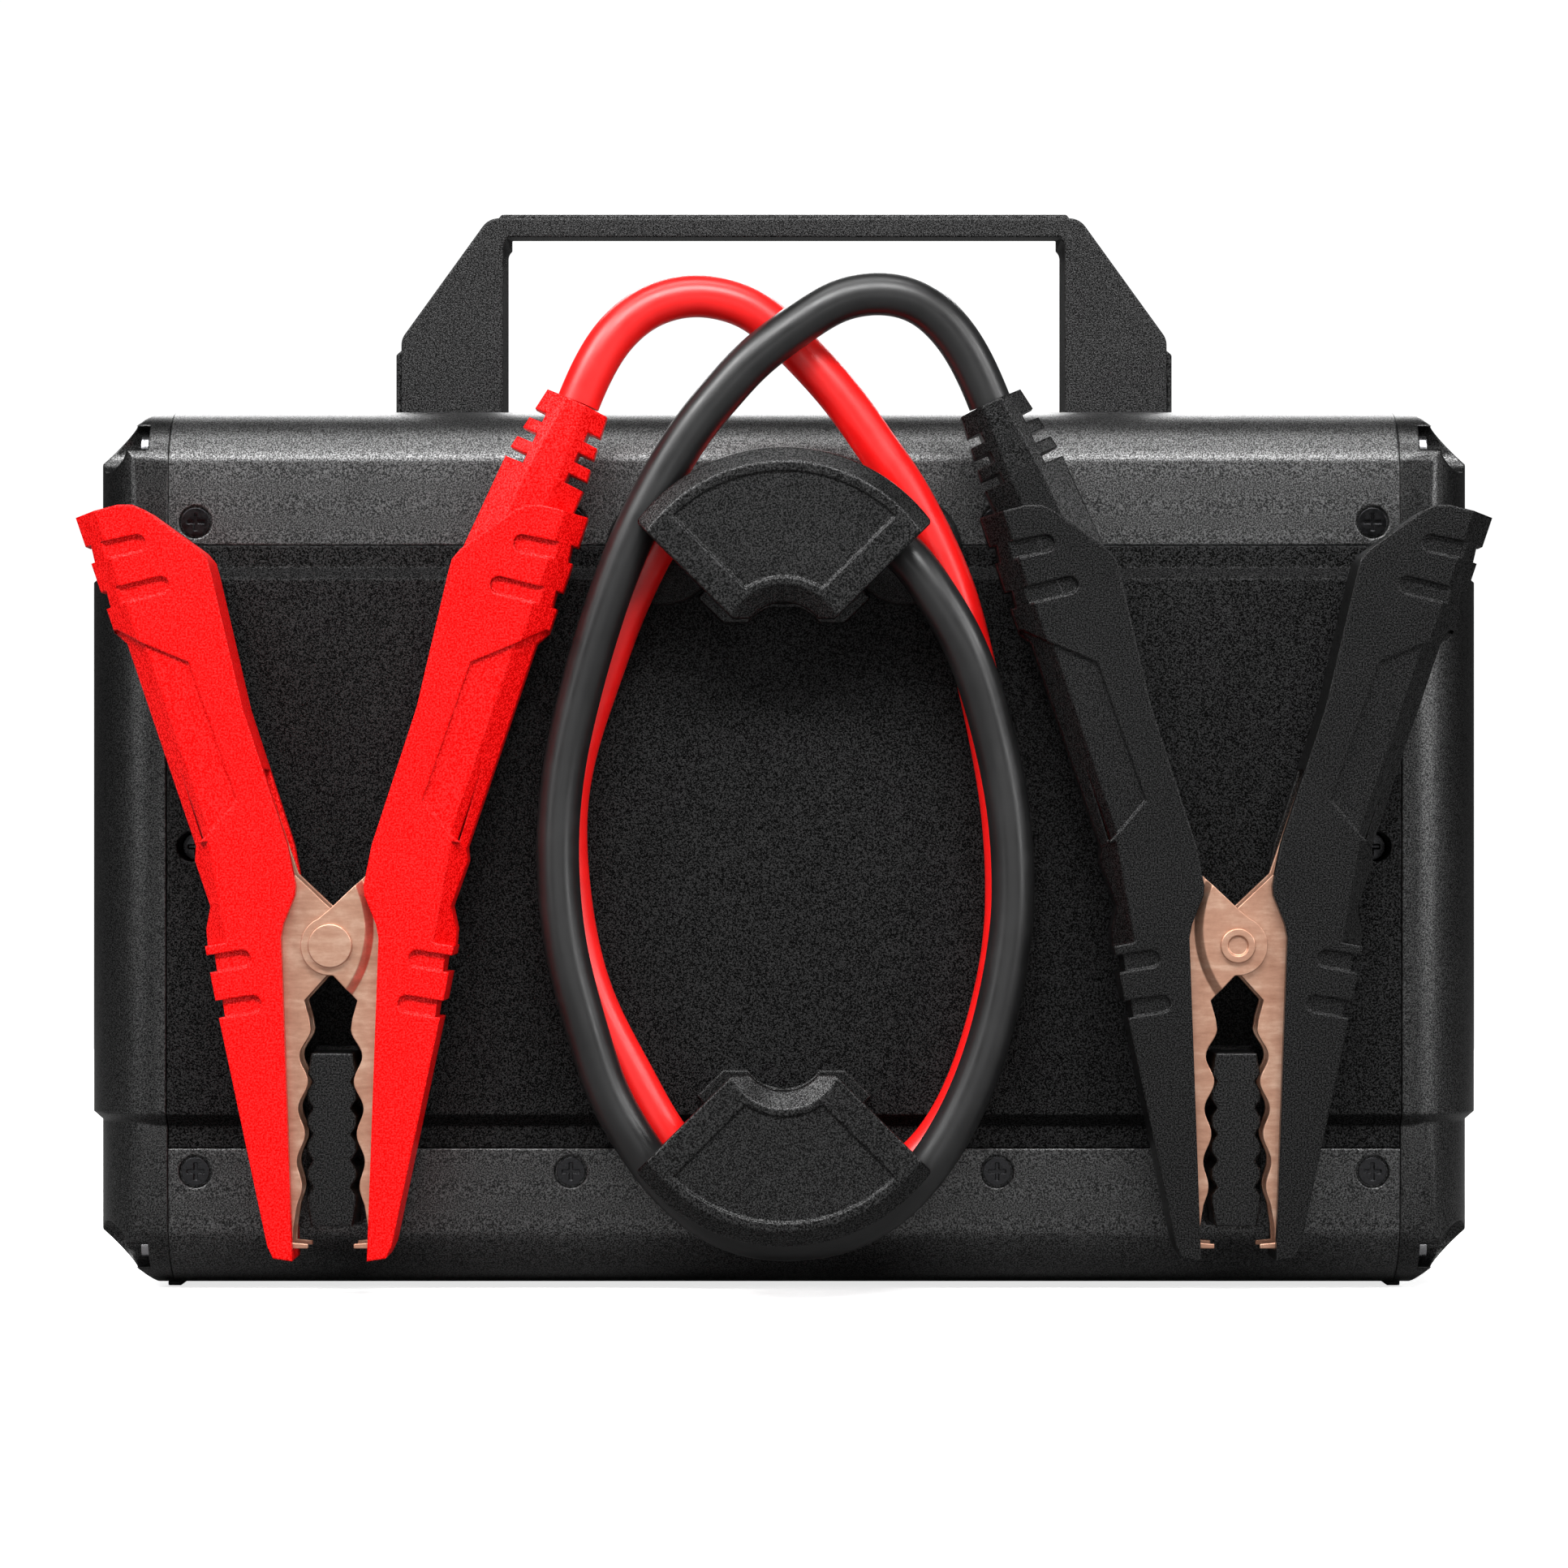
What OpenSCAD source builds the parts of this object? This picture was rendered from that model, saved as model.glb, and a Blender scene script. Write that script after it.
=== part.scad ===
/* [Body] */
// Width over the end caps, without the raised belt
body_w = 341; // [320:1:360]
// Height of the body above its feet
body_h = 218; // [210:1:226]
// Depth between the raised rear and front panels
body_d = 125; // [115:1:135]
// Radius of the long top and bottom edges
edge_r = 19.5; // [16:0.5:22]
// Radius of the upright edges of the end caps
cap_r = 18; // [14:0.5:20]
// Wall thickness of the shells
wall = 3.2; // [2.8:0.1:3.6]
// Half the width between the end cap seams
seam_x = 152.2; // [146:0.1:154]
// Height that the panels and the belt stand proud
step_h = 3.4; // [2.5:0.1:4]
// Half the height of the raised panels
panel_z = 66; // [60:1:70]
// Height of the foot rails
foot_h = 1.2; // [1:0.1:2]

/* [Handle] */
// Half the width over the handle legs
handle_w = 98.2; // [94:0.1:102]
// Half the width of the grip opening
grip_w = 72.1; // [68:0.1:75]
// Top of the handle above the middle of the body
handle_top = 161.3; // [156:0.1:170]
// Depth of the handle from front to back
handle_d = 26; // [22:1:30]

/* [Cable storage] */
// Gap between the rear panel and the underside of a holder cap
holder_gap = 26.5; // [25.5:0.5:28]
// Thickness of a holder cap
holder_t = 6; // [5:0.5:8]
// Outer diameter of the cables
cable_d = 10.5; // [10.3:0.1:10.6]

/* [Clamps] */
// Distance of a clamp pivot from the middle of the pack
clamp_x = 109.5; // [108:0.5:110]
// Height of a clamp pivot below the middle of the body
clamp_drop = 23.9; // [23:0.1:25]
// Height of a clamp's middle plane over the rear panel
clamp_h = 17; // [16:0.5:18]
// Thickness of a clamp cover
cover_t = 20; // [19:0.5:21]

/* [Hidden] */
$fn = 64;
eps = 0.01;
mid_z = foot_h + body_h / 2;
front_proud = 2.5;
rear_y = -(body_d + front_proud - holder_gap - holder_t) / 2;
front_y = rear_y + body_d;
mid_y = rear_y + body_d / 2;
flange_end = 74.6;
belt_proud = 2.2;
screw_z = 80.3;
screw_xs = [-145.5, -52.7, 52.7, 145.5];
end_x = body_w / 2;
base_d = body_d - 2 * step_h;
port_y = base_d / 2 - 8;
gland_x = 30;
gland_z = mid_z + 73;
gland_r = 12.4;
cover_screw_x = 146;
leg_x = (handle_w + grip_w) / 2;
port_z = body_h / 2 - 10.2;
clamp_z = mid_z - clamp_drop;
half_t = cover_t / 2;
charcoal = [0.09, 0.09, 0.1];
bright_red = [0.9, 0.04, 0.03];
soft_black = [0.05, 0.05, 0.055];
copper = [0.78, 0.55, 0.42];
steel = [0.72, 0.72, 0.74];

// Cable routes from the boot to the gland: x, height over the rear panel, z.
red_route = [
    [-50, 17, 218], [-46, 17, 228], [-40, 16, 237], [-31, 15, 243], [-21, 14, 245],
    [-11, 13, 243], [-4, 12, 239], [6, 12, 229], [15, 12, 219], [23, 12, 207],
    [29, 12, 199], [35, 11.5, 188], [42, 11, 173], [46, 9, 157], [50, 6, 140],
    [54, 5.5, 119], [55, 5.5, 95], [53, 5.5, 79], [49, 5.5, 63], [44, 5.5, 49],
    [37, 5.5, 37], [27, 5.5, 28], [14, 5.5, 24], [0, 5.5, 23], [-14, 5.5, 26],
    [-25, 5.5, 34], [-32, 5.5, 44], [-37, 5.5, 54], [-45, 5.5, 68], [-50, 5.5, 82],
    [-53, 5.5, 100], [-54, 5.5, 119], [-51, 6, 135], [-46, 7, 149], [-40, 9.5, 166],
    [-34, 11, 179], [-29, 11.5, 188], [-18, 12, 197], [-2, 11.5, 203], [13, 8.5, 200],
    [22.5, 5.5, 191.5], [28, 3, 186]];
black_route = [
    [50, 17, 218], [46, 18, 228], [40, 19.5, 237], [32, 21, 243], [23, 22, 244.5],
    [14, 22.5, 243], [7, 23, 239], [-7, 23, 229], [-14, 22.5, 221], [-21, 22, 213],
    [-27, 21.5, 204], [-32.5, 21, 194], [-36, 21, 187], [-41.5, 20, 174],
    [-46, 19, 160], [-49.5, 17.5, 148], [-54, 16.5, 129], [-55.5, 16.5, 109],
    [-54, 16.5, 90], [-51.5, 16.5, 78], [-47.5, 16, 64], [-43.5, 15, 51], [-38, 14.5, 41],
    [-30, 14, 29], [-19, 13, 19], [-8, 11.5, 14.5], [4, 13, 14], [19, 15.5, 17],
    [34, 16.5, 29], [46, 16.5, 50], [52, 16.5, 70], [55, 16.5, 87], [56, 16.5, 99],
    [55, 16.5, 119], [51, 17, 138], [45, 20.5, 158], [37, 20.5, 171], [31, 20, 180],
    [24, 18, 186], [13, 13.5, 188.5], [1, 8.5, 190], [-10, 5.5, 188.5], [-20, 2.5, 184]];

// Outline of one clamp arm cover, from its inner tip up its outside and back.
arm_outline = [
    [-9, -76], [-13.6, -75.3], [-15, -72.3], [-26.6, -17.5], [-30, 0], [-30.3, 4],
    [-29, 9.5], [-33, 20.5], [-32.7, 23.5], [-49.5, 73], [-52.5, 75.5], [-62, 103.5],
    [-51, 106.3], [-47.5, 106.3], [-44.5, 105], [-31.5, 95.6], [-29.5, 93.2],
    [-28.6, 90], [-21, 57.5], [-10.2, 24.4], [-8.2, 14.5], [-8.4, 12.2], [-11.2, 5.2],
    [-11.8, 2]];
// Edge point, angle and length of each finger groove.
grooves = [[[-59, 94.4], 12, 15], [[-55.2, 83.4], 14, 17],
           [[-28.9, -4.3], 9, 10], [[-27, -15.3], 9, 10.7]];
groove_r = 2.1;
pocket = [[-57, 79], [-45.3, 73.1], [-34, 68.4], [-22.3, 35.1], [-28.4, 27.9],
          [-38, 18.5], [-60, 40]];
pocket_d = 1;
ear_r = 7.2;
plate_t = 1.5;
inner_plate = 5;
outer_plate = 6.8;
rivet_r = 3.5;

// Extrudes a drawing in the x-z plane from y0 to y1.
module plate(y0, y1) {
    translate([0, y1, 0]) rotate([90, 0, 0]) linear_extrude(y1 - y0) children();
}

// Places a child at every corner of a rectangle.
module four(x, y) {
    for (sx = [-1, 1], sy = [-1, 1]) translate([sx * x, sy * y]) children();
}

module rounded_rect(w, h, r) {
    square([w - 2 * r, h], center = true);
    square([w, h - 2 * r], center = true);
    four(w / 2 - r, h / 2 - r) circle(r);
}

// Body section in y and z: rounded, with its flanges leaning back a little.
module body_section(inset) {
    lean = 1.4;
    hy = base_d / 2 - inset;
    hz = body_h / 2 - inset;
    intersection() {
        rounded_rect(2 * hy, 2 * hz, edge_r - inset);
        polygon([[hy, flange_end], [hy - lean, hz + lean], [-hy + lean, hz + lean],
                 [-hy, flange_end], [-hy, -flange_end], [-hy + lean, -hz - lean],
                 [hy - lean, -hz - lean], [hy, -flange_end]]);
    }
}

// A bar of the body section running along x.
module section_bar(x0, x1, inset) {
    translate([x0, mid_y, mid_z]) rotate([90, 0, 90]) linear_extrude(x1 - x0)
        body_section(inset);
}

// Outline of the body seen from the rear, with cut and blended corners.
module front_outline(inset) {
    hx = end_x - inset;
    hz = body_h / 2 - inset;
    cut = 14;
    intersection() {
        rounded_rect(2 * hx, 2 * hz, 7);
        polygon([[hx, hz - cut], [hx - cut, hz], [cut - hx, hz], [-hx, hz - cut],
                 [-hx, cut - hz], [cut - hx, -hz], [hx - cut, -hz], [hx, cut - hz]]);
    }
}

// The whole body envelope without its belt, shrunk by an inset.
module envelope(inset) {
    intersection() {
        section_bar(-end_x, end_x, inset);
        translate([0, mid_y, 0]) linear_extrude(2 * mid_z)
            rounded_rect(body_w - 2 * inset, base_d + 2, cap_r);
        translate([0, 0, mid_z]) plate(rear_y - 1, front_y + 1) front_outline(inset);
    }
}

// Slice of the belt round the body, grown or shrunk from its full size.
module belt_slice(half_h, shrink) {
    translate([0, mid_y, mid_z - half_h]) linear_extrude(2 * half_h)
        rounded_rect(body_w + 2 * (belt_proud - shrink), body_d - 2 * shrink,
                     cap_r + belt_proud - shrink);
}

module belt() {
    hull() {
        belt_slice(panel_z, 0, $fn = 48);
        belt_slice(panel_z + step_h - 0.4, step_h, $fn = 48);
    }
}

module x_cylinder(r, x0, x1, y, z) {
    translate([x0, y, z]) rotate([0, 90, 0]) cylinder(r = r, h = x1 - x0);
}

module y_cylinder(r, y0, y1, x, z) {
    translate([x, y1, z]) rotate([90, 0, 0]) cylinder(r = r, h = y1 - y0);
}

// Points of an arc of radius r that blends corner b between its neighbours a and c.
function fillet(a, b, c, r, n = 6) = let (
    u = unit(a - b), v = unit(c - b), half = acos(u * v) / 2,
    o = b + unit(u + v) * r / sin(half), s = b + u * r / tan(half) - o,
    e = b + v * r / tan(half) - o, turn = atan2(cross(s, e), s * e) / n)
    [for (k = [0:n]) o + [s[0] * cos(k * turn) - s[1] * sin(k * turn),
                          s[0] * sin(k * turn) + s[1] * cos(k * turn)]];

// --- Shells, covers and end caps ---

// Upper half of the extruded body, with a screw port in each long corner.
module shell_half() {
    difference() {
        intersection() {
            section_bar(-seam_x, seam_x, 0);
            translate([-body_w, -body_d, mid_z + flange_end]) cube([2 * body_w, 2 * body_d, body_h]);
        }
        difference() {
            section_bar(-body_w, body_w, wall);
            for (sy = [-1, 1]) x_cylinder(4.6, -body_w, body_w, mid_y + sy * port_y, mid_z + port_z);
        }
        for (sy = [-1, 1]) x_cylinder(2, -body_w, body_w, mid_y + sy * port_y, mid_z + port_z);
        for (x = screw_xs) {
            y_cylinder(4.1, rear_y - 5, rear_y + step_h + 1.8, x, mid_z + screw_z);
            y_cylinder(2.2, rear_y - 5, rear_y + 15, x, mid_z + screw_z);
            y_cylinder(4.1, front_y - step_h - 1.8, front_y + 5, x, mid_z + screw_z);
            y_cylinder(2.2, front_y - 15, front_y + 5, x, mid_z + screw_z);
        }
    }
}

module top_shell() {
    color(charcoal) difference() {
        shell_half();
        for (s = [-1, 1]) translate([s * leg_x, mid_y, 2 * mid_z - 20]) cylinder(r = 2.6, h = 30);
        for (s = [-1, 1]) y_cylinder(gland_r + 1.5, rear_y - 1, rear_y + 8, s * gland_x, gland_z);
    }
}

module bottom_shell() {
    color(charcoal) translate([0, 0, 2 * mid_z]) mirror([0, 0, 1]) shell_half();
}

// A raised panel with bevelled long edges and lips that tuck under the shells.
module raised_panel() {
    lip_y = step_h + wall + 0.75;
    section = [[0, 0], [0, panel_z], [step_h, panel_z + step_h - 0.4], [step_h, flange_end - 0.2],
               [lip_y, flange_end - 0.2], [lip_y, screw_z + 6],
               [lip_y + 2.8, screw_z + 6], [lip_y + 2.8, panel_z - 1], [wall, panel_z - 2],
               [wall, 0]];
    translate([-seam_x + 0.1, rear_y, mid_z]) rotate([90, 0, 90])
        linear_extrude(2 * seam_x - 0.2) {
            polygon(section);
            mirror([0, 1]) polygon(section);
        }
}

module rear_cover() {
    color(charcoal) difference() {
        union() {
            raised_panel();
            for (s = [-1, 1]) y_cylinder(6, rear_y + 1, rear_y + 18, s * cover_screw_x, mid_z);
            for (s = [-1, 1]) y_cylinder(gland_r + 0.6, rear_y + 1, rear_y + 6, s * gland_x, gland_z);
        }
        for (s = [-1, 1]) {
            y_cylinder(3.7, rear_y - 1, rear_y + 12, s * cover_screw_x, mid_z);
            y_cylinder(2.2, rear_y - 1, rear_y + 30, s * cover_screw_x, mid_z);
            y_cylinder(6.2, rear_y - 1, rear_y + 30, s * gland_x, gland_z);
        }
        for (x = screw_xs, s = [-1, 1])
            y_cylinder(1.7, rear_y, rear_y + 30, x, mid_z + s * screw_z);
    }
}

module end_cap(s) {
    difference() {
        intersection() {
            union() {
                envelope(0);
                belt();
            }
            translate([s > 0 ? seam_x + 0.15 : -body_w, -body_d, 0])
                cube([body_w - seam_x - 0.15, 2 * body_d, 2 * body_h]);
        }
        difference() {
            intersection() {
                envelope(wall);
                translate([-end_x + wall, -body_d, 0]) cube([body_w - 2 * wall, 2 * body_d, 2 * body_h]);
            }
            for (sy = [-1, 1], sz = [-1, 1])
                x_cylinder(7.8, -body_w, body_w, mid_y + sy * port_y, mid_z + sz * port_z);
        }
        for (sy = [-1, 1], sz = [-1, 1]) {
            x_cylinder(5.8, s > 0 ? 157.5 : -200, s > 0 ? 200 : -157.5,
                       mid_y + sy * port_y, mid_z + sz * port_z);
            x_cylinder(2.2, -body_w, body_w, mid_y + sy * port_y, mid_z + sz * port_z);
        }
    }
}

// Pan head screw along -y, its head top at y = 0, with a cross recess.
module pan_screw(head_r, head_t, shank_r, length) {
    difference() {
        union() {
            y_cylinder(head_r, 0, head_t, 0, 0);
            y_cylinder(shank_r, head_t - eps, length, 0, 0);
        }
        for (a = [0, 90]) rotate([0, a, 0]) translate([-head_r * 0.62, -eps, -0.45])
            cube([head_r * 1.24, head_t * 0.7, 0.9]);
    }
}

module shell_screws() {
    color(steel) for (x = screw_xs, sz = [-1, 1]) {
        translate([x, rear_y + step_h + 0.4, mid_z + sz * screw_z]) pan_screw(3.5, 1.4, 1.65, 11);
        translate([x, front_y - step_h - 0.4, mid_z + sz * screw_z]) rotate([0, 0, 180])
            pan_screw(3.5, 1.4, 1.65, 11);
    }
}

module cover_screws() {
    color(steel) for (s = [-1, 1]) translate([s * cover_screw_x, rear_y + 10.6, mid_z])
        pan_screw(3.5, 1.4, 2, 20);
}

module end_cap_screws() {
    color(steel) for (s = [-1, 1], sy = [-1, 1], sz = [-1, 1])
        translate([s * 159.5, mid_y + sy * port_y, mid_z + sz * port_z])
            rotate([0, 0, s * 90]) pan_screw(3.2, 2, 2, 22);
}

module foot_rails() {
    color(soft_black) for (s = [-1, 1]) translate([s * 153, mid_y, 0])
        translate([-1.7, -39, 0]) cube([3.4, 78, foot_h]);
}

// --- Handle ---

module handle_outline() {
    bar_end = [75.8, handle_top];
    shoulder = [handle_w, 130.3];
    foot = [handle_w, body_h / 2 - 0.4];
    half = concat([[0, handle_top]], fillet([0, handle_top], bar_end, shoulder, 5),
                  fillet(bar_end, shoulder, foot, 5),
                  [foot, [grip_w, foot[1]], [grip_w, 120], [0, 120]]);
    difference() {
        for (s = [0, 1]) mirror([s, 0]) polygon(half);
        translate([0, 110]) rounded_rect(2 * grip_w, 2 * (156.4 - 110), 2.7);
    }
}

module handle_frame() {
    color(charcoal) translate([0, mid_y, mid_z]) difference() {
        union() {
            plate(-handle_d / 2, handle_d / 2) handle_outline();
            for (s = [-1, 1]) translate([s * leg_x, 0, 90]) cylinder(r = 5, h = 19);
        }
        translate([-grip_w + 1, 0, 0]) rotate([90, 0, 90]) linear_extrude(2 * grip_w - 2)
            polygon([[-handle_d / 2, 156.4], [handle_d / 2 + 1, 158.7], [handle_d / 2 + 1, 150],
                     [-handle_d / 2, 150]]);
        for (s = [-1, 1]) translate([s * leg_x, 0, 80]) cylinder(r = 2.1, h = 45);
        for (s = [-1, 1]) translate([s * leg_x, 0, 124]) cube([18, 18, 6], center = true);
    }
}

module handle_grip() {
    color(soft_black) translate([0, mid_y, mid_z]) plate(-8, 8)
        polygon([[-74, handle_top], [74, handle_top], [72.8, handle_top + 1.6],
                 [-72.8, handle_top + 1.6]]);
}

module handle_side_plates() {
    color(charcoal) translate([0, mid_y, mid_z]) for (s = [0, 1]) mirror([s, 0]) plate(-9, 9)
        polygon([[handle_w, 109.2], [handle_w + 1.6, 109.2], [handle_w + 1.6, 126.6],
                 [handle_w, 128]]);
}

module handle_screws() {
    color(steel) for (s = [-1, 1]) translate([s * leg_x, mid_y, mid_z + 84])
        rotate([90, 0, 0]) pan_screw(4, 2, 2, 38);
}

// --- Cable holders, clamp posts and glands ---

fan_c = 52.2;
fan_r = 44;
fan_side = 42.5;
fan_corner = 35.2;
notch_c = 48.4;
notch_r = 10.4;

// Fan outline of a holder, pulled in from its arc, its 45 degree sides and its notch.
module fan(arc_in, side_in, notch_in) {
    base = fan_side + side_in * sqrt(2);
    corner = fan_corner - side_in * 1.1;
    difference() {
        intersection() {
            translate([0, fan_c]) circle(fan_r - arc_in, $fn = 128);
            polygon([[0, base], [70, base + 70], [-70, base + 70]]);
            translate([-corner, 54.8]) square([2 * corner, 60]);
        }
        translate([0, notch_c]) circle(notch_r + notch_in);
    }
}

rim_h = 3.2;
cap_face = -holder_t;

// Everything behind a rim slope whose outer edge passes through p, facing along an angle.
module rim_side(p, angle, w) {
    k = w / rim_h;
    translate([p[0], 0, p[1]]) rotate([0, -angle, 0]) linear_extrude(300, center = true)
        polygon([[-150, cap_face - 1], [-w - k, cap_face - 1], [-w + k * (1 - cap_face), 1], [-150, 1]]);
}

// Cap with a sloping rim and a shallow recess inside it.
module cap_shape() {
    arc_w = 3.7;
    side_w = 5;
    notch_w = 4.2;
    difference() {
        intersection() {
            plate(cap_face, 0) fan(0, 0, 0);
            translate([0, cap_face, fan_c]) rotate([-90, 0, 0])
                cylinder(r1 = fan_r - arc_w, r2 = fan_r - arc_w + arc_w / rim_h * holder_t,
                         h = holder_t, $fn = 128);
            for (a = [-45, -135]) rim_side([0, fan_side], a, side_w);
            for (a = [0, 180]) rim_side([cos(a) * fan_corner, 0], a, arc_w);
        }
        translate([0, cap_face, notch_c]) rotate([-90, 0, 0])
            cylinder(r1 = notch_r + notch_w, r2 = notch_r + notch_w - notch_w / rim_h * holder_t,
                     h = holder_t);
        plate(cap_face - 1, cap_face + 0.6) fan(6, 7.2, 6);
    }
}

module holder_cap(s) {
    translate([0, rear_y - holder_gap, mid_z]) mirror([0, 0, s]) cap_shape();
}

module holder_neck(s) {
    translate([0, rear_y, mid_z]) mirror([0, 0, s]) difference() {
        union() {
            plate(-holder_gap, -2) polygon([[-9, 59.8], [9, 59.8], [17, 61.8], [12, 71.5], [-12, 71.5],
                                            [-17, 61.8]]);
            plate(-2, 0) polygon([[-15, 55], [15, 55], [21.4, 61.3], [17.2, 66], [13, 72.5],
                                  [-13, 72.5], [-17.2, 66], [-21.4, 61.3]]);
        }
        y_cylinder(notch_r + 0.6, -holder_gap - 1, 1, 0, notch_c);
    }
}

module clamp_post(s) {
    pitch = 6.375;
    first = 9.55;
    teeth = 5;
    half_w = 5.95;
    bottom = mid_z - 92;
    length = 42;
    notch = 1.4;
    translate([s * clamp_x, rear_y, bottom]) difference() {
        union() {
            plate(-21, 0) polygon([[-5, 0], [5, 0], [half_w, 6], [half_w, length - 6], [5, length],
                                   [-5, length], [-half_w, length - 6], [-half_w, 6]]);
            plate(-2, 0) polygon([[-5.5, -1], [5.5, -1], [8, 5], [8, length - 5], [5.5, length + 1],
                                  [-5.5, length + 1], [-8, length - 5], [-8, 5]]);
        }
        for (i = [0:teeth - 1], m = [-1, 1]) plate(-22, -2.5)
            translate([m * half_w, first + i * pitch])
                polygon([[-m * notch, 0], [m * 0.5, pitch * 0.45], [m * 0.5, -pitch * 0.45]]);
    }
}

module gland(s) {
    translate([s * gland_x, rear_y, gland_z]) rotate([90, 0, 0])
        rotate_extrude() {
            square([gland_r, 2.6]);
            translate([gland_r, 1.3]) intersection() {
                circle(1.3);
                translate([0, -2]) square([4, 4]);
            }
            translate([0, -7]) square([6, 8]);
        }
}

// --- Cables ---

function place(p) = [p[0], rear_y - p[1], p[2]];
function unit(v) = v / norm(v);
function tangent(r, i) = unit(place(r[min(i + 1, len(r) - 1)]) - place(r[max(i - 1, 0)]));
function side_of(t) = unit(cross(t, abs(t[1]) > 0.8 ? [1, 0, 0] : [0, 1, 0]));
function ring(c, t, r, n) = let (a = side_of(t), b = cross(t, a))
    [for (k = [0:n - 1]) c + r * (cos(360 * k / n) * a + sin(360 * k / n) * b)];

module cable_tube(route) {
    sides = 10;
    rings = len(route);
    points = [for (i = [0:rings - 1]) each ring(place(route[i]), tangent(route, i), cable_d / 2, sides)];
    walls = [for (i = [0:rings - 2], k = [0:sides - 1])
        [i * sides + k, i * sides + (k + 1) % sides, (i + 1) * sides + (k + 1) % sides,
         (i + 1) * sides + k]];
    first = [for (k = [sides - 1:-1:0]) k];
    last = [for (k = [0:sides - 1]) (rings - 1) * sides + k];
    polyhedron(points, concat(walls, [first], [last]));
}

// --- Clamps, drawn round the pivot with the cable arm on the right ---

module groove_shape(g) {
    translate(g[0]) rotate(g[1]) {
        translate([-6, -groove_r]) square([g[2] + 6 - groove_r, 2 * groove_r]);
        translate([g[2] - groove_r, 0]) circle(groove_r);
    }
}

// Bevel along a straight outer edge, on both faces of a cover.
module edge_bevel(a, b, w, d) {
    run = b - a;
    for (m = [0, 1]) mirror([0, m, 0]) translate([a[0], 0, a[1]])
        rotate([0, -atan2(run[1], run[0]), 0]) translate([-4, 0, 0]) rotate([90, 0, 90])
            linear_extrude(norm(run) + 8)
                polygon([[-half_t + d + 2 * d / w, 2], [-half_t - 3, 2], [-half_t - 3, -w],
                         [-half_t, -w]]);
}

module arm_cavity() {
    polygon([[-5, -73.5], [-13, -73.5], [-23.8, -17], [-26.4, 0], [-26.8, 8], [-29.4, 20],
             [-36.4, 42.6], [-10, 42.6], [4, 0]]);
}

module arm_cover() {
    difference() {
        plate(-half_t, half_t) polygon(arm_outline);
        edge_bevel([-52.5, 75.5], [-62, 103.5], 5.5, 6);
        intersection() {
            edge_bevel([-32.7, 23.5], [-49.5, 73], 5.5, 6);
            plate(-40, 40) polygon(pocket);
        }
        edge_bevel([-30, 4], [-33, 20.5], 4.5, 5);
        for (m = [0, 1]) mirror([0, m, 0]) {
            plate(-half_t - 1, -half_t + pocket_d) polygon(pocket);
            for (g = grooves) plate(-half_t - 1, -half_t + 1.4) groove_shape(g);
        }
        for (g = grooves) plate(-half_t - 1, half_t + 1) intersection() {
            groove_shape(g);
            translate(g[0]) rotate(g[1]) translate([-8, -4]) square([9.4, 8]);
        }
        plate(-6.7, 6.7) arm_cavity();
    }
}

// One jaw sheet seen from the front: teeth, ear and the stretch in the cover.
module jaw_outline(ear) {
    teeth = [for (d = [20.3:1.0625:62.8])
        [-(6.1 + 0.04 * (d - 20) - (1.3 - 0.015 * (d - 20)) * cos(360 * (d - 20.3) / 12.75)), -d]];
    polygon(concat([[0, 9], [0, -ear], [-0.7, -ear], [-6.4, -13.3], [-5.2, -17.6]], teeth,
        [[-9, -68], [-9.2, -71.8], [-5.5, -72.1], [-5.5, -73.2], [-12.8, -73.2], [-23.5, -17], [-26, 0],
         [-26.5, 8], [-29, 20], [-36, 42.2], [-17.4, 42.2], [-8.9, 17.4]]));
    circle(ear);
    polygon([[0, 9], [3.6, 6], [0, 0]]);
}

module jaw_web(ear) {
    difference() {
        jaw_outline(ear);
        translate([plate_t, 0]) jaw_outline(ear);
        translate([-9.4, -100]) square([60, 200]);
    }
}

module moving_jaw_local() {
    difference() {
        union() {
            for (m = [0, 1]) mirror([0, m, 0]) plate(-inner_plate - plate_t, -inner_plate)
                jaw_outline(ear_r - 0.2);
            plate(-inner_plate - 0.1, inner_plate + 0.1) jaw_web(ear_r);
        }
        y_cylinder(rivet_r + 0.06, -20, 20, 0, 0);
    }
}

// The cable arm's jaw: its ears step outwards over the other jaw's ears.
module fixed_jaw_local() {
    step_c = [17, 4];
    r0 = 25.3;
    r1 = 27.3;
    difference() {
        union() {
            for (m = [0, 1]) mirror([0, m, 0]) intersection() {
                mirror([1, 0, 0]) plate(-20, 20) jaw_outline(ear_r);
                translate([-step_c[0], 0, step_c[1]]) rotate([90, 0, 0])
                    rotate_extrude($fn = 128)
                        polygon([[0, outer_plate], [0, outer_plate + plate_t],
                                 [r0, outer_plate + plate_t], [r1, inner_plate + plate_t],
                                 [130, inner_plate + plate_t], [130, inner_plate],
                                 [r1 - 0.6, inner_plate], [r0 - 0.6, outer_plate]]);
            }
            mirror([1, 0, 0]) plate(-inner_plate - 0.1, inner_plate + 0.1) jaw_web(ear_r);
        }
        y_cylinder(rivet_r + 0.06, -20, 20, 0, 0);
    }
}

module rivet_local() {
    top = outer_plate + plate_t;
    difference() {
        union() {
            y_cylinder(rivet_r, -top - 1, top + 1, 0, 0);
            y_cylinder(5.3, -top - 1.3, -top, 0, 0);
            y_cylinder(4.2, top, top + 1.2, 0, 0);
        }
        y_cylinder(2.4, top + 0.4, top + 5, 0, 0);
    }
}

module spring_local() {
    wire_r = 0.9;
    for (i = [-1.5:1:1.5]) translate([0, i * 1.7, 0]) rotate([90, 0, 0])
        rotate_extrude() translate([5.2, 0]) circle(wire_r, $fn = 20);
    for (m = [-1, 1]) translate([m * 5.2, m * 2.55, 0]) rotate([0, m * 27, 0])
        cylinder(r = wire_r, h = 34, $fn = 20);
}

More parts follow.
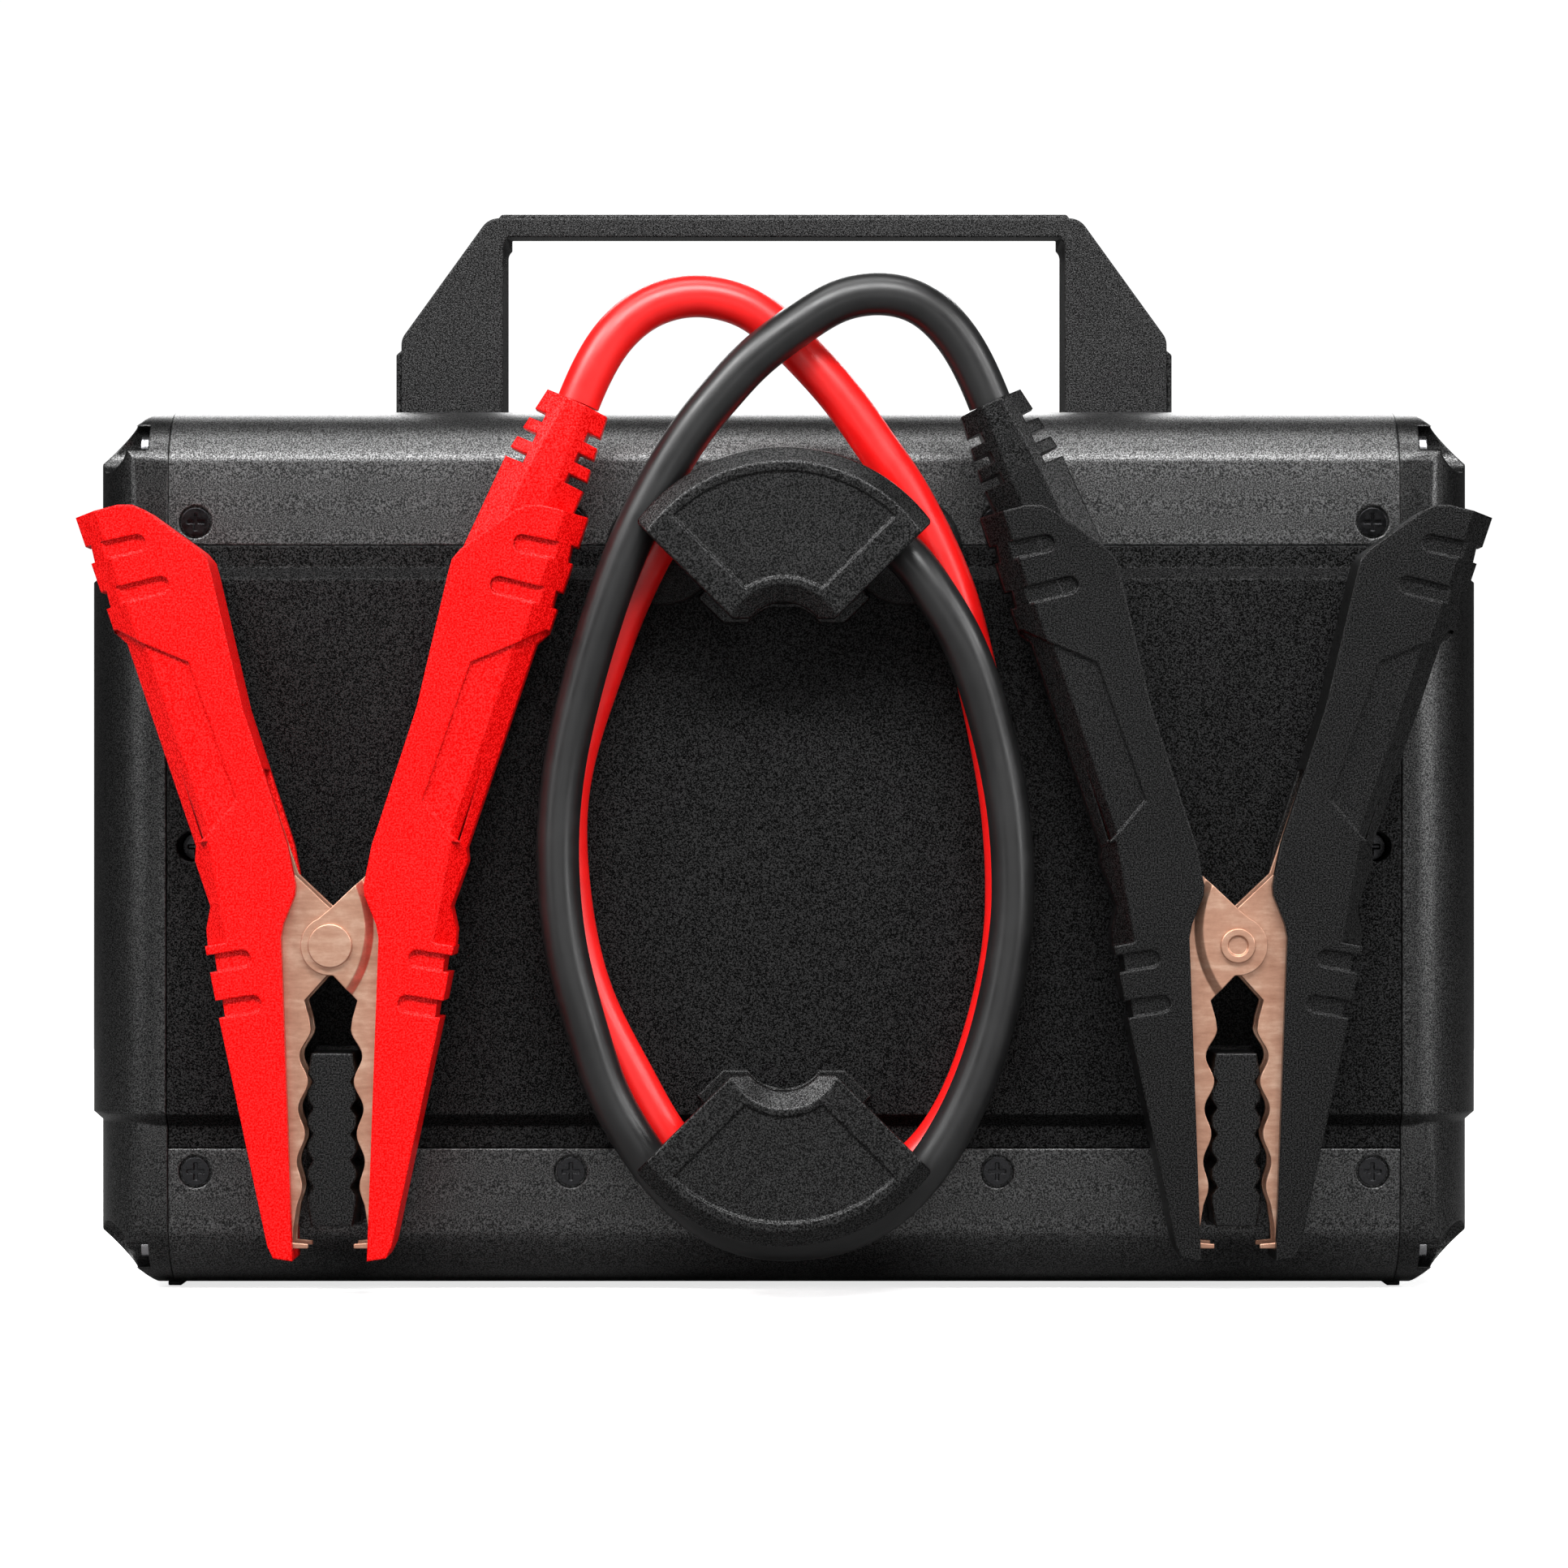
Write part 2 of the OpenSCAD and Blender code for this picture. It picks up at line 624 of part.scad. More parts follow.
boot_top = [59.4, 131.4];
boot_tilt = 25;

// Places a child with +z along the boot, its zero at the cable end.
module on_boot() {
    translate([boot_top[0], 0, boot_top[1]]) rotate([0, boot_tilt, 0]) children();
}

module boot_section(w, flat, d) {
    polygon([[flat, d], [w, d * 0.42], [w, -d * 0.42], [flat, -d], [-flat, -d],
             [-w, -d * 0.42], [-w, d * 0.42], [-flat, d]]);
}

module boot_local() {
    difference() {
        on_boot() {
            hull() {
                translate([0, 0, -0.1]) linear_extrude(0.1) boot_section(7.9, 2.4, 7.6);
                translate([0, 0, -19]) linear_extrude(0.1) boot_section(10.5, 3.6, 8.3);
            }
            translate([0, 0, -52]) linear_extrude(33.1) boot_section(10.3, 3.8, 8.3);
        }
        on_boot() for (z = [-8, -13.4, -18.9], m = [-1, 1])
            translate([m * 10.5 - 5, -12, z]) cube([10, 24, 2.5]);
    }
    on_boot() translate([0, 0, -20]) cylinder(r = 5.3, h = 15, $fn = 32);
}

module boot_socket() {
    on_boot() translate([0, 0, -52.2]) linear_extrude(80) boot_section(10.5, 3.9, 8.4);
}

module fixed_cover_local() {
    difference() {
        mirror([1, 0, 0]) arm_cover();
        boot_socket();
    }
}

// Side -1 is the red clamp, side 1 the black one, which is turned half round.
module on_clamp(s) {
    translate([s * clamp_x, rear_y - clamp_h, clamp_z]) rotate([0, 0, s > 0 ? 180 : 0]) children();
}

// --- Inside ---

tray_floor = wall + foot_h + 3;
cell = [60, 36, 150];
cell_top = tray_floor + 3 + cell[2];
cell_y = mid_y - 4;

module battery_cells() {
    color([0.2, 0.35, 0.6]) for (i = [0:3]) translate([-94 + i * 63, cell_y, tray_floor + 3])
        linear_extrude(cell[2]) rounded_rect(cell[0], cell[1], 3);
}

module cell_tray() {
    color([0.16, 0.16, 0.17]) difference() {
        translate([-136, cell_y - 22, tray_floor - 3]) cube([273, 44, 40]);
        translate([-124.3, cell_y - 18.3, tray_floor + 2.7]) cube([249.6, 36.6, 60]);
    }
}

// Bar over the cells, held down by a tie rod at each end of the tray.
module cell_clamp_bar() {
    bar_z = cell_top + 6;
    color(steel) {
        translate([-136, cell_y + 4, bar_z]) cube([273, 12, 2]);
        for (x = [-131, 132]) translate([x, cell_y + 10, tray_floor + 37])
            cylinder(r = 2, h = bar_z - tray_floor - 36);
    }
}

module bus_bars() {
    color(copper) for (i = [0:2]) translate([-88 + i * 63, cell_y - 12, cell_top])
        cube([51, 12, 2]);
}

module power_board() {
    color([0.06, 0.32, 0.16]) difference() {
        translate([-70, front_y - 28, mid_z - 55]) cube([180, 1.6, 110]);
        for (x = [-64, 104], z = [-49, 49]) y_cylinder(1.7, front_y - 40, front_y, x, mid_z + z);
    }
}

module boost_relay() {
    color([0.12, 0.12, 0.13]) translate([-16, rear_y + 12, mid_z - 10]) cube([32, 20, 28]);
}

// --- Control side ---

socket_x = -92;
socket_z = mid_z - 8;
door_x = 74;
door_w = 78;
door_h = 34;
door_z = mid_z - 22;
hinge_z = door_z + door_h / 2 - 1.6;
hinge_y = front_y - 1.9;
pin_r = 0.8;
button_r = 9;
buttons_x = [-24, 12];
button_z = mid_z - 26;
window = [84, 30];
window_z = mid_z + 26;
lens = [56, 26];
lens_x = 84;
lens_z = mid_z + 28;

module control_panel() {
    color(charcoal) difference() {
        union() {
            translate([0, 2 * mid_y, 0]) mirror([0, 1, 0]) raised_panel();
            y_cylinder(17, front_y - 6, front_y - 0.1, socket_x, socket_z);
            translate([door_x - door_w / 2 - 5, front_y - 7, door_z - door_h / 2 - 3])
                cube([door_w + 10, 6, door_h + 8]);
        }
        y_cylinder(14.3, front_y - 30, front_y + 5, socket_x, socket_z);
        for (x = buttons_x) y_cylinder(button_r + 0.3, front_y - 30, front_y + 5, x, button_z);
        translate([0, front_y, window_z]) cube([window[0] + 0.4, 30, window[1] + 0.4], center = true);
        translate([lens_x, front_y, lens_z]) cube([lens[0] + 0.4, 30, lens[1] + 0.4], center = true);
        translate([door_x - door_w / 2 - 0.4, front_y - 4.2, door_z - door_h / 2 - 0.4])
            cube([door_w + 0.8, 6, door_h + 3.4]);
        translate([door_x, front_y, door_z]) cube([door_w - 8, 30, door_h - 10], center = true);
        x_cylinder(pin_r, door_x - door_w / 2 - 4, door_x + door_w / 2 + 4, hinge_y, hinge_z);
        for (x = screw_xs, s = [-1, 1])
            y_cylinder(1.7, front_y - 30, front_y, x, mid_z + s * screw_z);
    }
}

module round_button(x) {
    y_cylinder(button_r, front_y - 3, front_y + 1.8, x, button_z);
    y_cylinder(button_r + 1.5, front_y - 7.5, front_y - 5.2, x, button_z);
    y_cylinder(button_r - 2, front_y - 6, front_y - 2, x, button_z);
}

module display_window() {
    color([0.1, 0.12, 0.14]) translate([-window[0] / 2, front_y - 2.4, window_z - window[1] / 2])
        cube([window[0], 2.2, window[1]]);
}

module display_board() {
    color([0.05, 0.25, 0.3]) {
        translate([-window[0] / 2 + 2, front_y - 7, window_z - window[1] / 2 + 2])
            cube([window[0] - 4, 4.2, window[1] - 4]);
        translate([-window[0] / 2 - 4, front_y - 8.6, window_z - window[1] / 2 - 4])
            cube([window[0] + 8, 1.6, window[1] + 8]);
    }
}

module usb_ports() {
    color(steel) for (i = [0, 1]) translate([door_x - 24 + i * 20, front_y - 15, door_z]) {
        difference() {
            translate([-7, 0, -3.4]) cube([14, 8.6, 6.8]);
            translate([-6.2, 1, -2.6]) cube([12.4, 9, 5.2]);
        }
        translate([-5.6, 0.5, 0.2]) cube([11.2, 7, 1.6]);
    }
}

module charge_jack() {
    color([0.1, 0.1, 0.1]) translate([door_x + 22, 0, door_z]) difference() {
        y_cylinder(6, front_y - 17, front_y - 5.6, 0, 0);
        difference() {
            y_cylinder(3.2, front_y - 15, front_y, 0, 0);
            y_cylinder(1, front_y - 16, front_y - 6.5, 0, 0);
        }
    }
}

module accessory_socket() {
    color([0.14, 0.14, 0.15]) translate([socket_x, 0, socket_z]) difference() {
        union() {
            y_cylinder(14, front_y - 44, front_y + 0.6, 0, 0);
            y_cylinder(16.5, front_y, front_y + 2.5, 0, 0);
        }
        y_cylinder(10.5, front_y - 41, front_y + 5, 0, 0);
    }
}

module port_door() {
    color(soft_black) difference() {
        union() {
            translate([door_x - door_w / 2, front_y - 1.2, door_z - door_h / 2])
                cube([door_w, 2.4, door_h - 3.6]);
            x_cylinder(1.6, door_x - door_w / 2, door_x + door_w / 2, hinge_y, hinge_z);
            translate([door_x - door_w / 2, front_y - 2.4, hinge_z - 3]) cube([door_w, 3.6, 3]);
            translate([door_x - 6, front_y + 1.1, door_z - door_h / 2 + 1]) cube([12, 1.2, 2]);
        }
        x_cylinder(pin_r + 0.05, 0, 200, hinge_y, hinge_z);
    }
}

module port_door_pin() {
    color(steel) x_cylinder(pin_r, door_x - door_w / 2 - 3.5, door_x + door_w / 2 + 3.5, hinge_y, hinge_z);
}

module light_lens() {
    color([0.85, 0.88, 0.9]) translate([lens_x - lens[0] / 2, front_y - 2.4, lens_z - lens[1] / 2])
        cube([lens[0], 2.4, lens[1]]);
}

module light_board() {
    color([0.9, 0.9, 0.82]) {
        translate([lens_x - lens[0] / 2 - 3, front_y - 8, lens_z - lens[1] / 2 - 3])
            cube([lens[0] + 6, 1.6, lens[1] + 6]);
        for (i = [-2:2], k = [-1, 1]) translate([lens_x + i * 10 - 1.5, front_y - 6.5, lens_z + k * 6 - 1.5])
            cube([3, 1, 3]);
    }
}

// --- Pieces made from the shared shapes above ---

module left_end_cap() {
    color(charcoal) end_cap(-1);
}

module right_end_cap() {
    color(charcoal) end_cap(1);
}

module upper_holder_neck() {
    color(charcoal) holder_neck(0);
}

module upper_holder_cap() {
    color(charcoal) holder_cap(0);
}

module lower_holder_neck() {
    color(charcoal) holder_neck(1);
}

module lower_holder_cap() {
    color(charcoal) holder_cap(1);
}

module left_clamp_post() {
    color(charcoal) clamp_post(-1);
}

module right_clamp_post() {
    color(charcoal) clamp_post(1);
}

module red_cable_gland() {
    color(soft_black) gland(1);
}

module black_cable_gland() {
    color(soft_black) gland(-1);
}

module red_cable() {
    color(bright_red) cable_tube(red_route);
}

module black_cable() {
    color(soft_black) cable_tube(black_route);
}

module red_fixed_cover() {
    color(bright_red) on_clamp(-1) fixed_cover_local();
}

module red_moving_cover() {
    color(bright_red) on_clamp(-1) arm_cover();
}

module red_fixed_jaw() {
    color(copper) on_clamp(-1) fixed_jaw_local();
}

module red_moving_jaw() {
    color(copper) on_clamp(-1) moving_jaw_local();
}

module red_rivet() {
    color(copper) on_clamp(-1) rivet_local();
}

module red_spring() {
    color(steel) on_clamp(-1) spring_local();
}

module red_boot() {
    color(bright_red) on_clamp(-1) boot_local();
}

module black_fixed_cover() {
    color(soft_black) on_clamp(1) fixed_cover_local();
}

module black_moving_cover() {
    color(soft_black) on_clamp(1) arm_cover();
}

module black_fixed_jaw() {
    color(copper) on_clamp(1) fixed_jaw_local();
}

module black_moving_jaw() {
    color(copper) on_clamp(1) moving_jaw_local();
}

module black_rivet() {
    color(copper) on_clamp(1) rivet_local();
}

module black_spring() {
    color(steel) on_clamp(1) spring_local();
}

module black_boot() {
    color(soft_black) on_clamp(1) boot_local();
}

module power_button() {
    color(soft_black) round_button(buttons_x[0]);
}

module boost_button() {
    color(bright_red) round_button(buttons_x[1]);
}

top_shell();
bottom_shell();
rear_cover();
control_panel();
left_end_cap();
right_end_cap();
end_cap_screws();
shell_screws();
cover_screws();
foot_rails();
handle_frame();
handle_grip();
handle_side_plates();
handle_screws();
upper_holder_neck();
upper_holder_cap();
lower_holder_neck();
lower_holder_cap();
left_clamp_post();
right_clamp_post();
red_cable_gland();
black_cable_gland();
red_cable();
black_cable();
red_fixed_cover();
red_moving_cover();
red_fixed_jaw();
red_moving_jaw();
red_rivet();
red_spring();
red_boot();
black_fixed_cover();
black_moving_cover();
black_fixed_jaw();
black_moving_jaw();
black_rivet();
black_spring();
black_boot();
battery_cells();
cell_tray();
cell_clamp_bar();
bus_bars();
power_board();
boost_relay();
power_button();
boost_button();
display_window();
display_board();
usb_ports();
charge_jack();
accessory_socket();
port_door();
port_door_pin();
light_lens();
light_board();
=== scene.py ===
import math

import bpy
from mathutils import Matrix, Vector


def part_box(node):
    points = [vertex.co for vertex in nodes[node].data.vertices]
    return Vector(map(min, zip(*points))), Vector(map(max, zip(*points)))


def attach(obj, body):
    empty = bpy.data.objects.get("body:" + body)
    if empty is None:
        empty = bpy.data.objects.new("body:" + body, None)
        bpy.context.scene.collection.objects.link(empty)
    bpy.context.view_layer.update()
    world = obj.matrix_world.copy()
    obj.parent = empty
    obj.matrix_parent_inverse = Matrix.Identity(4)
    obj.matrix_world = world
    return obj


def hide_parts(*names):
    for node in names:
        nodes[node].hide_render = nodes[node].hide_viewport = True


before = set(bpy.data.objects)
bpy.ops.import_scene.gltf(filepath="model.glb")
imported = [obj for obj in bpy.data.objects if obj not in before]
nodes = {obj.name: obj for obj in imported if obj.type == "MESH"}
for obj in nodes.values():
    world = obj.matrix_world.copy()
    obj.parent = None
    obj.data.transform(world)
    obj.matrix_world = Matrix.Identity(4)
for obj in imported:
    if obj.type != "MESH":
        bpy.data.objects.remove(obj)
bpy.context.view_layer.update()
scene = bpy.context.scene
REAR_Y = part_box("rear_cover")[0].y
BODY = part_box("top_shell")[1].z
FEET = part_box("foot_rails")[0].z
MID_Z = (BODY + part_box("bottom_shell")[0].z) / 2


CENTRE = (0, 0, MID_Z)


# --- Camera ---

CAMERA_DISTANCE = 1.2
LENS_MM = 111.8

camera = bpy.data.objects.new("camera", bpy.data.cameras.new("camera"))
scene.collection.objects.link(camera)
camera.location = (0, REAR_Y - CAMERA_DISTANCE, MID_Z)
camera.rotation_euler = (math.radians(90), 0, 0)
camera.data.lens = LENS_MM
camera.data.sensor_width = 36
camera.data.shift_y = 0.04
scene.camera = camera
scene.view_settings.view_transform = "Standard"
scene.view_settings.look = "None"


# --- Node helpers ---

def new_material(name):
    material = bpy.data.materials.new(name)
    material.use_nodes = True
    tree = material.node_tree
    return material, tree, tree.nodes["Principled BSDF"]


def add(tree, kind, **values):
    """A node of that kind, with inputs or properties set by name."""
    node = tree.nodes.new(kind)
    for key, value in values.items():
        if key.replace("_", " ") in node.inputs:
            node.inputs[key.replace("_", " ")].default_value = value
        else:
            setattr(node, key, value)
    return node


def noise(tree, scale, detail=3.0, rough=0.55, stretch=None):
    """Noise in object space, with features about 1/scale metres across."""
    coords = tree.nodes.new("ShaderNodeTexCoord")
    made = add(tree, "ShaderNodeTexNoise", Scale=scale, Detail=detail, Roughness=rough)
    source = coords.outputs["Object"]
    if stretch:
        mapping = add(tree, "ShaderNodeMapping", Scale=stretch)
        tree.links.new(source, mapping.inputs["Vector"])
        source = mapping.outputs["Vector"]
    tree.links.new(source, made.inputs["Vector"])
    return made.outputs["Fac"]


def remap(tree, value, low, high, out_low, out_high):
    made = add(tree, "ShaderNodeMapRange")
    for name, number in (("From Min", low), ("From Max", high), ("To Min", out_low), ("To Max", out_high)):
        made.inputs[name].default_value = number
    tree.links.new(value, made.inputs["Value"])
    return made.outputs["Result"]


def ramp(tree, value, stops):
    made = tree.nodes.new("ShaderNodeValToRGB")
    while len(made.color_ramp.elements) < len(stops):
        made.color_ramp.elements.new(0.5)
    for element, (at, colour) in zip(made.color_ramp.elements, stops):
        element.position = at
        element.color = (*colour, 1)
    tree.links.new(value, made.inputs["Fac"])
    return made.outputs["Color"]


def bump(tree, height, depth, after=None):
    made = add(tree, "ShaderNodeBump", Strength=1.0, Distance=depth)
    tree.links.new(height, made.inputs["Height"])
    if after:
        tree.links.new(after, made.inputs["Normal"])
    return made.outputs["Normal"]


def worn_edge(tree, radius=0.0008):
    """Normal that turns softly over each edge, so that edges catch the light."""
    return add(tree, "ShaderNodeBevel", Radius=radius, samples=6).outputs["Normal"]


def clouded(tree, shader, cloud, dark, light):
    """Base colour that drifts from dark to light with a soft noise."""
    tree.links.new(ramp(tree, cloud, [(0.3, dark), (0.7, light)]), shader.inputs["Base Color"])


def uneven_gloss(tree, shader, cloud, low, high, start=0.3, end=0.7):
    """Roughness that follows a noise from low to high."""
    tree.links.new(remap(tree, cloud, start, end, low, high), shader.inputs["Roughness"])


def relief(tree, shader, height, depth, edge=None):
    """Bump over the plain or the edge-worn normal."""
    tree.links.new(bump(tree, height, depth, edge), shader.inputs["Normal"])


GRAIN_FINENESS = 2.1
BLOTCH_SCALE = 60.0


def grained(name, dark, light, rough, grain, depth, specular=0.5, spread=0.06):
    """Moulded or coated surface: speckled colour and sheen, fine grain and slightly uneven gloss."""
    material, tree, shader = new_material(name)
    fine = noise(tree, GRAIN_FINENESS * grain, 2.5, 0.6)
    tree.links.new(ramp(tree, fine, [(0.44, dark), (0.6, light)]), shader.inputs["Base Color"])
    uneven_gloss(tree, shader, noise(tree, BLOTCH_SCALE, 4.0), rough - spread, rough + spread)
    relief(tree, shader, fine, depth, worn_edge(tree))
    sheen = remap(tree, fine, 0.42, 0.64, 0.3 * specular, 1.9 * specular)
    tree.links.new(sheen, shader.inputs["Specular IOR Level"])
    return material


# --- Materials ---

def grey(v):
    return (v, v, v * 1.02)


MATERIALS = {
    "shell": grained("shell_coat", grey(0.0), grey(0.024), 0.35, 1400, 0.00006, 0.9, 0.02),
    "panel": grained("panel_plastic", grey(0.0), grey(0.014), 0.45, 1300, 0.00012, 0.12, 0.03),
    "cap": grained("cap_plastic", grey(0.0), grey(0.006), 0.3, 1500, 0.00004, 0.75, 0.02),
    "holder": grained("holder_plastic", grey(0.0), grey(0.006), 0.34, 1300, 0.00008, 0.4, 0.03),
    "handle": grained("handle_plastic", grey(0.0), grey(0.022), 0.4, 1400, 0.0001, 0.28, 0.03),
    "rubber": grained("soft_rubber", grey(0.003), grey(0.009), 0.55, 2200, 0.00005, 0.25),
    "red": grained("red_plastic", (0.55, 0.0, 0.0), (1.0, 0.006, 0.006), 0.34, 1100, 0.0001, 0.2, 0.03),
    "black": grained("black_plastic", grey(0.0), grey(0.007), 0.32, 1400, 0.00009, 0.3, 0.03),
    "inner": grained("inner_plastic", grey(0.02), grey(0.04), 0.5, 1200, 0.00008),
    "board": grained("circuit_board", (0.004, 0.05, 0.02), (0.01, 0.1, 0.04), 0.4, 600, 0.00003),
    "sleeve": grained("cell_sleeve", (0.02, 0.07, 0.2), (0.03, 0.1, 0.28), 0.35, 900, 0.00003),
}


def jacket(name, dark, light, rough):
    """Cable jacket: smooth, faintly clouded, with a soft second gloss."""
    material, tree, shader = new_material(name)
    clouded(tree, shader, noise(tree, 90, 3.0), dark, light)
    uneven_gloss(tree, shader, noise(tree, 140, 4.0), rough - 0.05, rough + 0.07)
    relief(tree, shader, noise(tree, 300, 1.0), 0.00001)
    shader.inputs["Coat Weight"].default_value = 0.12
    shader.inputs["Coat Roughness"].default_value = 0.3
    return material


METAL_EDGE = 0.0003


def worn_copper():
    """Plated sheet: satin, with drawn streaks and blotches of wear."""
    material, tree, shader = new_material("copper_plate")
    streaks = noise(tree, 260, 5.0, 0.65, (0.35, 1, 1.6))
    blotches = noise(tree, 110, 6.0, 0.7)
    mixed = add(tree, "ShaderNodeMath", operation="MULTIPLY_ADD")
    mixed.inputs[1].default_value = 0.55
    tree.links.new(streaks, mixed.inputs[0])
    scaled = add(tree, "ShaderNodeMath", operation="MULTIPLY")
    scaled.inputs[1].default_value = 0.45
    tree.links.new(blotches, scaled.inputs[0])
    tree.links.new(scaled.outputs[0], mixed.inputs[2])
    wear = [(0.34, (0.38, 0.19, 0.125)), (0.5, (0.52, 0.29, 0.2)), (0.66, (0.7, 0.46, 0.34))]
    colour = ramp(tree, mixed.outputs[0], wear)
    tree.links.new(colour, shader.inputs["Base Color"])
    uneven_gloss(tree, shader, mixed.outputs[0], 0.5, 0.34, 0.35, 0.65)
    relief(tree, shader, mixed.outputs[0], 0.00006, worn_edge(tree, METAL_EDGE))
    shader.inputs["Metallic"].default_value = 0.85
    return material


def dimmed(colour, share):
    return tuple(c * share for c in colour)


def steel(name, colour, rough):
    """Bare or blackened steel with a slightly clouded gloss."""
    material, tree, shader = new_material(name)
    cloud = noise(tree, 500, 4.0)
    clouded(tree, shader, cloud, dimmed(colour, 0.75), colour)
    uneven_gloss(tree, shader, cloud, rough - 0.06, rough + 0.08)
    relief(tree, shader, noise(tree, 1500, 3.0), 0.00002, worn_edge(tree, METAL_EDGE))
    shader.inputs["Metallic"].default_value = 1.0
    return material


def glassy(name, colour, rough, transmission):
    """Clear or smoked plastic."""
    material, tree, shader = new_material(name)
    cloud = noise(tree, 300, 3.0)
    clouded(tree, shader, cloud, dimmed(colour, 0.85), colour)
    uneven_gloss(tree, shader, cloud, rough, rough + 0.05)
    shader.inputs["Transmission Weight"].default_value = transmission
    return material


MATERIALS.update({
    "red_jacket": jacket("red_jacket", (0.72, 0.004, 0.004), (0.86, 0.008, 0.007), 0.36),
    "black_jacket": jacket("black_jacket", grey(0.006), grey(0.011), 0.36),
    "copper": worn_copper(),
    "dark_steel": steel("dark_screw", (0.035, 0.035, 0.037), 0.26),
    "bright_steel": steel("bright_steel", (0.6, 0.6, 0.62), 0.28),
    "window": glassy("dark_window", (0.01, 0.012, 0.015), 0.08, 0.0),
    "lens": glassy("clear_lens", (0.85, 0.88, 0.9), 0.2, 0.6),
})

# Material, bevel width and bevel angle in degrees of each CAD node.
FINISH = {
    "top_shell": ("shell", 0.0006, 40), "bottom_shell": ("shell", 0.0006, 40),
    "rear_cover": ("panel", 0.0007, 30), "control_panel": ("panel", 0.0007, 30),
    "left_end_cap": ("cap", 0.0012, 40), "right_end_cap": ("cap", 0.0012, 40),
    "end_cap_screws": ("bright_steel", 0.0002, 40), "shell_screws": ("dark_steel", 0.0002, 40),
    "cover_screws": ("dark_steel", 0.0002, 40), "foot_rails": ("rubber", 0.0003, 40),
    "handle_frame": ("handle", 0.0012, 25), "handle_grip": ("handle", 0.0005, 30),
    "handle_side_plates": ("handle", 0.0004, 30), "handle_screws": ("dark_steel", 0.0002, 40),
    "upper_holder_neck": ("holder", 0.0008, 30), "lower_holder_neck": ("holder", 0.0008, 30),
    "upper_holder_cap": ("holder", 0.0006, 30), "lower_holder_cap": ("holder", 0.0006, 30),
    "left_clamp_post": ("holder", 0.0006, 30), "right_clamp_post": ("holder", 0.0006, 30),
    "red_cable_gland": ("rubber", 0.0004, 40), "black_cable_gland": ("rubber", 0.0004, 40),
    "battery_cells": ("sleeve", 0.0006, 40), "cell_tray": ("inner", 0.0006, 40),
    "cell_clamp_bar": ("bright_steel", 0.0003, 40), "bus_bars": ("copper", 0.0003, 40),
    "power_board": ("board", 0.0002, 40), "boost_relay": ("inner", 0.0006, 40),
    "power_button": ("rubber", 0.0006, 40), "boost_button": ("red", 0.0006, 40),
    "display_window": ("window", 0.0003, 40), "display_board": ("board", 0.0002, 40),
    "usb_ports": ("bright_steel", 0.0002, 40), "charge_jack": ("inner", 0.0003, 40),
    "accessory_socket": ("inner", 0.0006, 40), "port_door": ("rubber", 0.0004, 40),
    "port_door_pin": ("bright_steel", 0.0001, 40), "light_lens": ("lens", 0.0005, 40),
    "light_board": ("board", 0.0002, 40),
}
for side in ("red", "black"):
    FINISH[f"{side}_fixed_cover"] = FINISH[f"{side}_moving_cover"] = (side, 0.001, 25)
    FINISH[f"{side}_boot"] = (side, 0.0003, 25)
    FINISH[f"{side}_fixed_jaw"] = FINISH[f"{side}_moving_jaw"] = ("copper", 0.0002, 40)
    FINISH[f"{side}_rivet"] = ("copper", 0.0003, 40)
    FINISH[f"{side}_spring"] = ("bright_steel", 0.0, 40)


BEVEL_SEGMENTS = 3
WELD_DISTANCE = 0.00001
FLAT_DEGREES = 0.3


def soften(piece, width, angle):
    """Rounds the edges of a CAD piece and keeps its flats flat."""
    weld = piece.modifiers.new("weld", "WELD")
    weld.merge_threshold = WELD_DISTANCE
    flatten = piece.modifiers.new("flatten", "DECIMATE")
    flatten.decimate_type = "DISSOLVE"
    flatten.angle_limit = math.radians(FLAT_DEGREES)
    if width:
        bevel = piece.modifiers.new("bevel", "BEVEL")
        bevel.width = width
        bevel.segments = BEVEL_SEGMENTS
        bevel.limit_method = "ANGLE"
        bevel.angle_limit = math.radians(angle)
        bevel.miter_outer = "MITER_ARC"
    piece.data.shade_smooth()
    normals = piece.modifiers.new("normals", "WEIGHTED_NORMAL")
    normals.keep_sharp = True


for name, (kind, width, angle) in FINISH.items():
    node = nodes[name]
    for slot in node.material_slots:
        slot.material = MATERIALS[kind]
    soften(node, width, angle)


# --- Cables ---

# Routes from the boot to the gland, in millimetres: x, height over the rear panel, z.
RED_ROUTE = [
    [-50, 17, 218], [-46, 17, 228], [-40, 16, 237], [-31, 15, 243], [-21, 14, 245],
    [-11, 13, 243], [-4, 12, 239], [6, 12, 229], [15, 12, 219], [23, 12, 207],
    [29, 12, 199], [35, 11.5, 188], [42, 11, 173], [46, 9, 157], [50, 6, 140],
    [54, 5.5, 119], [55, 5.5, 95], [53, 5.5, 79], [49, 5.5, 63], [44, 5.5, 49],
    [37, 5.5, 37], [27, 5.5, 28], [14, 5.5, 24], [0, 5.5, 23], [-14, 5.5, 26],
    [-25, 5.5, 34], [-32, 5.5, 44], [-37, 5.5, 54], [-45, 5.5, 68], [-50, 5.5, 82],
    [-53, 5.5, 100], [-54, 5.5, 119], [-51, 6, 135], [-46, 7, 149], [-40, 9.5, 166],
    [-34, 11, 179], [-29, 11.5, 188], [-18, 12, 197], [-2, 11.5, 203], [13, 8.5, 200],
    [22.5, 5.5, 191.5], [28, 3, 186]]
